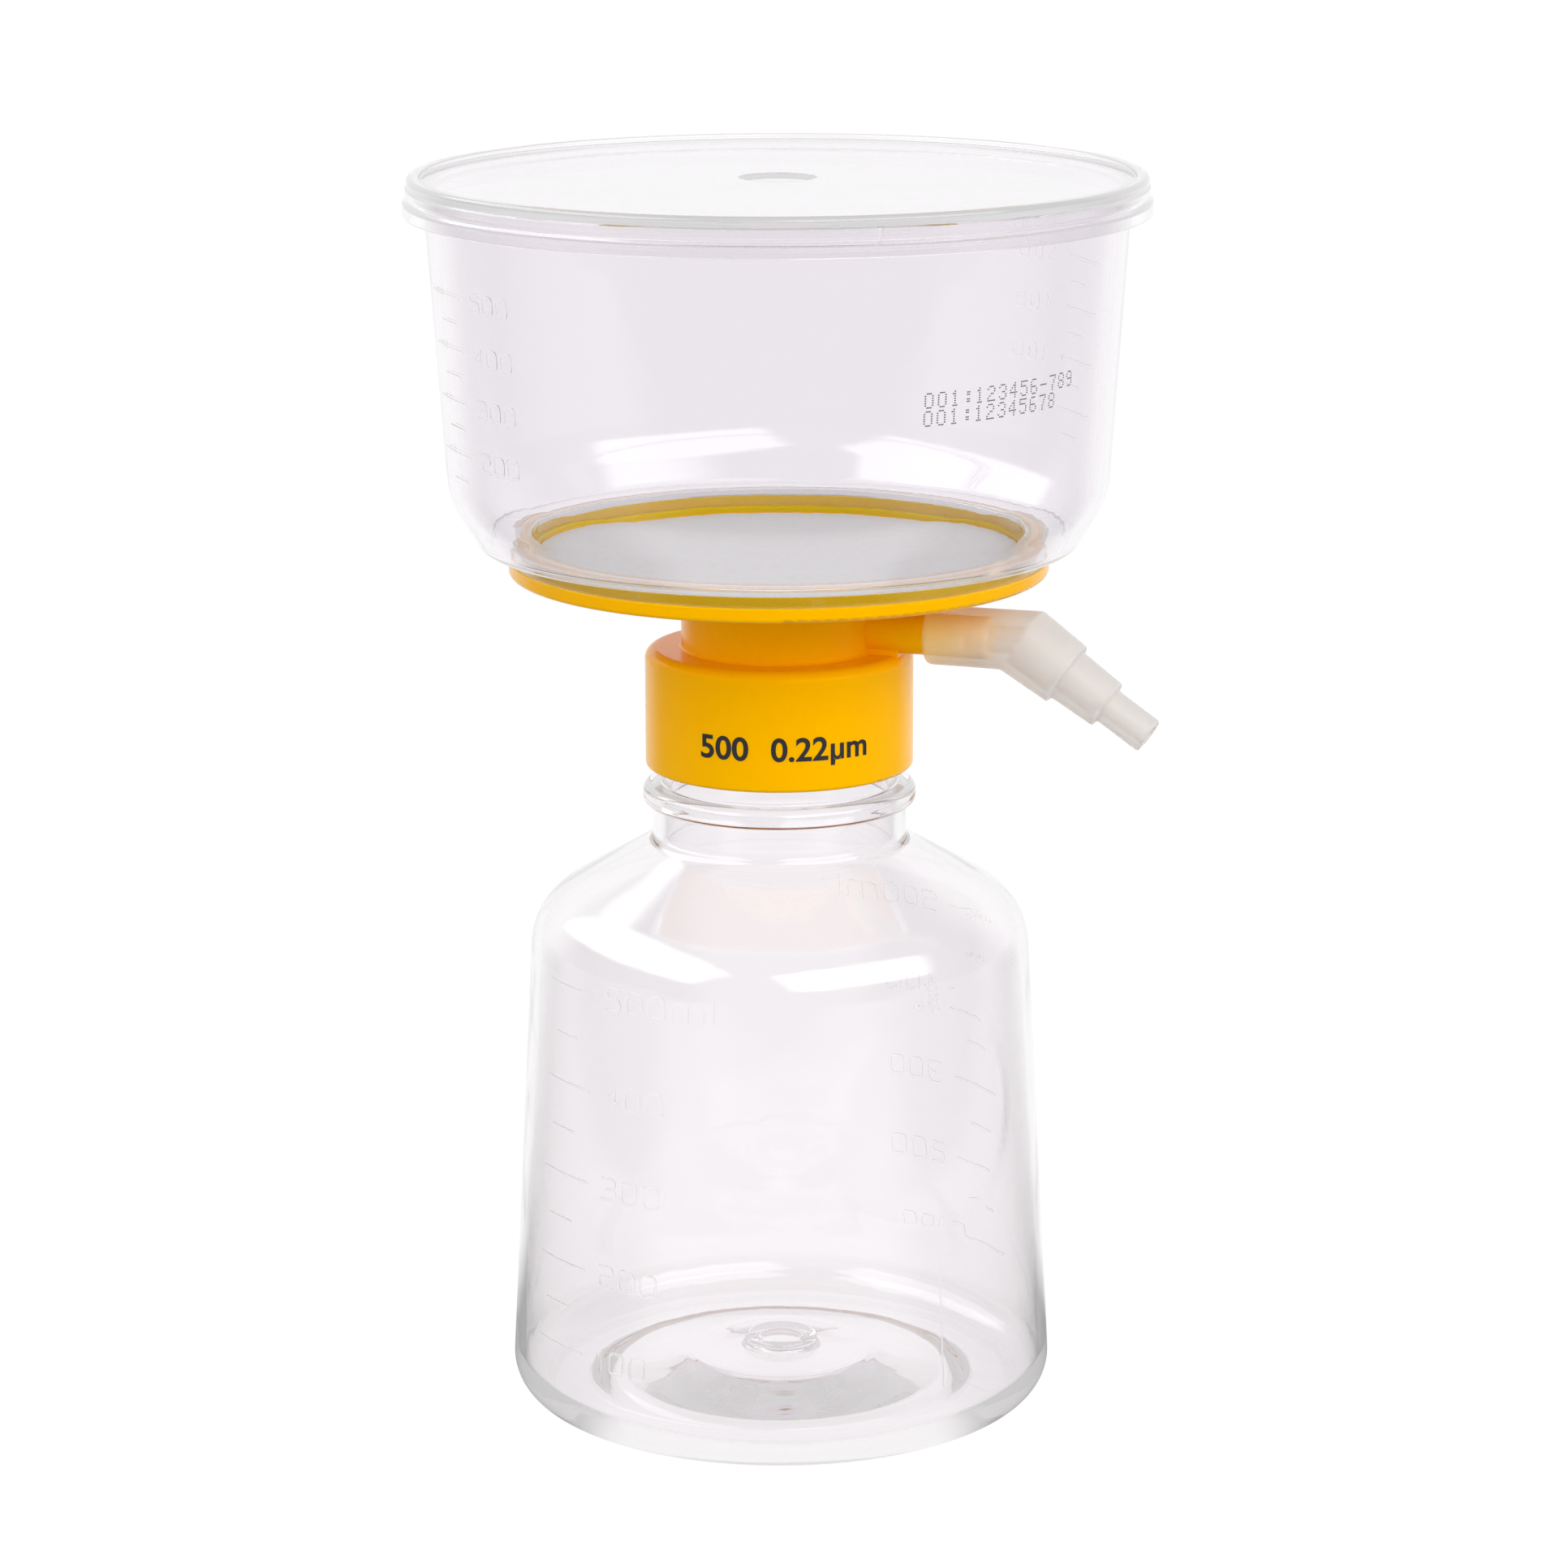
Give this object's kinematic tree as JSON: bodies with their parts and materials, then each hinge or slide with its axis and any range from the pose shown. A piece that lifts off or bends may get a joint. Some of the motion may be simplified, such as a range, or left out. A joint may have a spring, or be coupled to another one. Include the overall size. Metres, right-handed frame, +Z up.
{
  "type": "vacuum filtration unit",
  "caption": "Bottle-top vacuum filtration unit: clear funnel with vented lid on a yellow filter base screwed to a clear receiver bottle, with a bent hose adapter on the side nozzle.",
  "frame": {"origin": "on the bottle's axis, in the plane the bottle stands on", "axes": "+Z up along the axis of bottle, collar, funnel and lid; front at -Y; the side nozzle points to +X, turned 19 degrees towards the front"},
  "size_m": [0.1299, 0.129, 0.2197],
  "materials": {
    "bottle_plastic": "clear blown polystyrene, polished",
    "funnel_plastic": "clear moulded polystyrene, polished",
    "lid_plastic": "clear moulded polystyrene, polished",
    "base_plastic": "yellow moulded plastic, glossy",
    "membrane_film": "fine porous film, matt",
    "adapter_plastic": "milky polyethylene, satin",
    "seal_rubber": "white silicone",
    "plug_fibre": "packed white fibre"
  },
  "bodies": {
    "bottle": {"receiver_bottle": "bottle_plastic"},
    "seal": {"neck_gasket": "seal_rubber"},
    "filter_head": {"filter_base": "base_plastic", "vent_plug": "plug_fibre", "membrane": "membrane_film", "funnel": "funnel_plastic"},
    "lid": {"lid": "lid_plastic"},
    "adapter": {"hose_adapter": "adapter_plastic"}
  },
  "joints": [
    {"name": "collar_lift", "type": "slide", "parent": "bottle", "child": "seal", "axis": [0, 0, 1], "range_m": [0, 0.006]},
    {"name": "collar_turn", "type": "hinge", "parent": "seal", "child": "filter_head", "pos_m": [0, 0, 0.125], "axis": [0, 0, 1], "range_deg": [0, 540]},
    {"name": "lid_lift", "type": "slide", "parent": "filter_head", "child": "lid", "axis": [0, 0, 1], "range_m": [0, 0.04]},
    {"name": "adapter_swivel", "type": "hinge", "parent": "filter_head", "child": "adapter", "pos_m": [0.02837, -0.00977, 0.14041], "axis": [0.9455, -0.3256, 0], "continuous": true}
  ],
  "couplings": [
    {"joint": "collar_lift", "follows": "collar_turn", "m_per_rad": 0.0006366}
  ]
}
